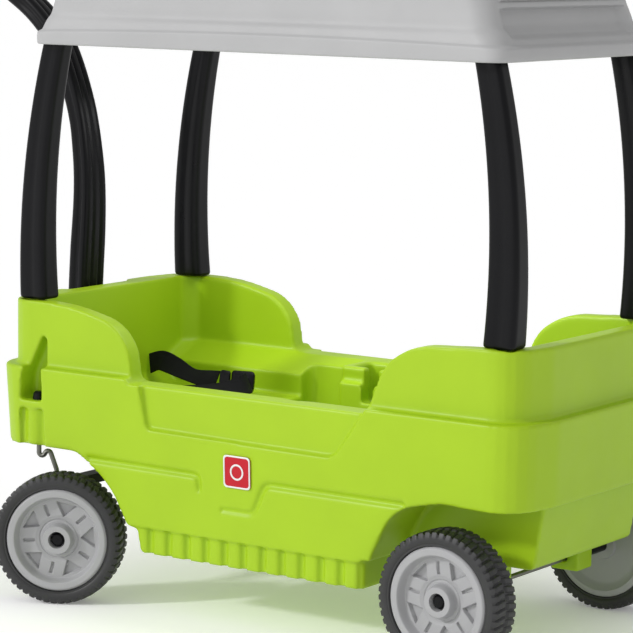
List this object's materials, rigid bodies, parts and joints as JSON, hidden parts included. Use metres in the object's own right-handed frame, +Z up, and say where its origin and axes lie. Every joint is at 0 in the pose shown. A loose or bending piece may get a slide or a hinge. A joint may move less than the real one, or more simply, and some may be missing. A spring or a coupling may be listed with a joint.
{
  "type": "wagon with pull handle",
  "caption": "Child's pull wagon: moulded tub with facing seats, belts and cup holders, post-mounted canopy, linked front steering and an upright pull handle.",
  "frame": {"origin": "on the body's flat belly (underside of the skirt), on the middle plane, at the middle of the foot well; the wheels stand 96 mm below it", "axes": "+X towards the pull handle (forward), +Y to the wagon's left, +Z up"},
  "size_m": [1.3537, 0.7162, 1.0819],
  "materials": {
    "lime_plastic": "rotomoulded lime green polyethylene, fine pebbled satin",
    "canopy_plastic": "blow-moulded light grey polyethylene, satin",
    "black_plastic": "black moulded plastic, semi-gloss",
    "rim_plastic": "injection-moulded mid grey plastic, satin",
    "tyre_plastic": "hard black treaded tyre",
    "zinc_steel": "zinc plated steel",
    "black_webbing": "woven black webbing",
    "badge_red": "plain red moulded badge with a pale rim"
  },
  "bodies": {
    "body": {"body_shell": "lime_plastic", "canopy_roof": "canopy_plastic", "rear_axle": "zinc_steel", "belt_front_buckle": "black_plastic", "belt_front_buckle_strap": "black_webbing", "belt_front_tongue_strap": "black_webbing", "belt_rear_buckle": "black_plastic", "belt_rear_buckle_strap": "black_webbing", "belt_rear_tongue_strap": "black_webbing", "post_front_left": "black_plastic", "canopy_screw_front_left": "zinc_steel", "post_front_right": "black_plastic", "canopy_screw_front_right": "zinc_steel", "post_rear_left": "black_plastic", "canopy_screw_rear_left": "zinc_steel", "post_rear_right": "black_plastic", "canopy_screw_rear_right": "zinc_steel", "side_badge_left": "badge_red", "axle_cap_rear_left": "black_plastic", "rear_spacer_left": "black_plastic", "side_badge_right": "badge_red", "axle_cap_rear_right": "black_plastic", "rear_spacer_right": "black_plastic"},
    "knuckle_left": {"knuckle_left": "zinc_steel", "kingpin_cap_left": "black_plastic", "axle_cap_front_left": "black_plastic"},
    "knuckle_right": {"knuckle_right": "zinc_steel", "kingpin_cap_right": "black_plastic", "axle_cap_front_right": "black_plastic"},
    "steering_bar": {"steering_bar": "black_plastic", "handle_pin": "zinc_steel", "handle_pin_clip": "zinc_steel", "leg_clip_upper_left": "black_plastic", "leg_clip_upper_right": "black_plastic", "leg_clip_lower_left": "black_plastic", "leg_clip_lower_right": "black_plastic"},
    "handle": {"handle_bar": "black_plastic"},
    "wheel_front_left": {"wheel_rim_front_left": "rim_plastic", "tyre_front_left": "tyre_plastic"},
    "wheel_front_right": {"wheel_rim_front_right": "rim_plastic", "tyre_front_right": "tyre_plastic"},
    "wheel_rear_left": {"wheel_rim_rear_left": "rim_plastic", "tyre_rear_left": "tyre_plastic"},
    "wheel_rear_right": {"wheel_rim_rear_right": "rim_plastic", "tyre_rear_right": "tyre_plastic"}
  },
  "joints": [
    {"name": "steer_left", "type": "hinge", "parent": "body", "child": "knuckle_left", "pos_m": [0.456, 0.232, 0.184], "axis": [0, 0, 1], "range_deg": [-58, 6]},
    {"name": "steer_right", "type": "hinge", "parent": "body", "child": "knuckle_right", "pos_m": [0.456, -0.232, 0.184], "axis": [0, 0, 1], "range_deg": [-58, 6]},
    {"name": "bar_pivot", "type": "hinge", "parent": "knuckle_left", "child": "steering_bar", "pos_m": [0.42904, 0.21885, 0.084], "axis": [0, 0, 1], "range_deg": [-6, 58]},
    {"name": "handle_tilt", "type": "hinge", "parent": "steering_bar", "child": "handle", "pos_m": [0.56804, -0.01315, 0.1435], "axis": [0, 1, 0], "range_deg": [0, 85]},
    {"name": "spin_front_left", "type": "hinge", "parent": "knuckle_left", "child": "wheel_front_left", "pos_m": [0.38075, 0.26539, 0.011], "axis": [-0.4384, 0.8988, 0], "continuous": true},
    {"name": "spin_front_right", "type": "hinge", "parent": "knuckle_right", "child": "wheel_front_right", "pos_m": [0.43598, -0.31186, 0.011], "axis": [-0.4384, 0.8988, 0], "continuous": true},
    {"name": "spin_rear_left", "type": "hinge", "parent": "body", "child": "wheel_rear_left", "pos_m": [-0.36, 0.247, 0.011], "axis": [0, 1, 0], "continuous": true},
    {"name": "spin_rear_right", "type": "hinge", "parent": "body", "child": "wheel_rear_right", "pos_m": [-0.36, -0.247, 0.011], "axis": [0, 1, 0], "continuous": true}
  ],
  "couplings": [
    {"joint": "steer_right", "follows": "steer_left", "ratio": 1},
    {"joint": "bar_pivot", "follows": "steer_left", "ratio": -1}
  ]
}
